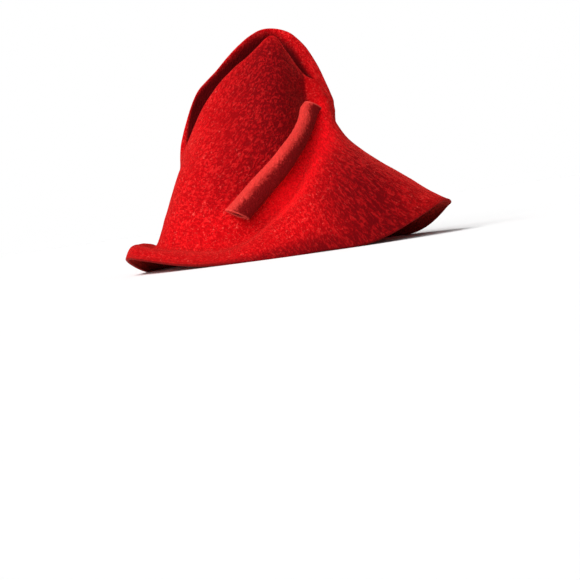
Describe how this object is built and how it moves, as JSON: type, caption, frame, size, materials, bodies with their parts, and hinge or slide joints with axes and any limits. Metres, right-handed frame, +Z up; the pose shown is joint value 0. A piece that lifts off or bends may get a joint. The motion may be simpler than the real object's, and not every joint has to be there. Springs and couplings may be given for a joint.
{
  "type": "wool hat",
  "caption": "Tall red wool felt hat with a deep lengthwise crease, a cone-shaped front brim, an upturned back lip and a rolled felt quill on its right side.",
  "frame": {"origin": "middle of the hat's outline, on the floor that the brim rests on", "axes": "+Z up, -Y towards the front of the hat, -X towards the wearer's right"},
  "size_m": [0.2182, 0.2956, 0.21],
  "materials": {
    "red_felt": "napped",
    "red_felt_strip": "napped"
  },
  "bodies": {
    "root": {"felt_body": "red_felt", "quill": "red_felt_strip"}
  },
  "joints": []
}
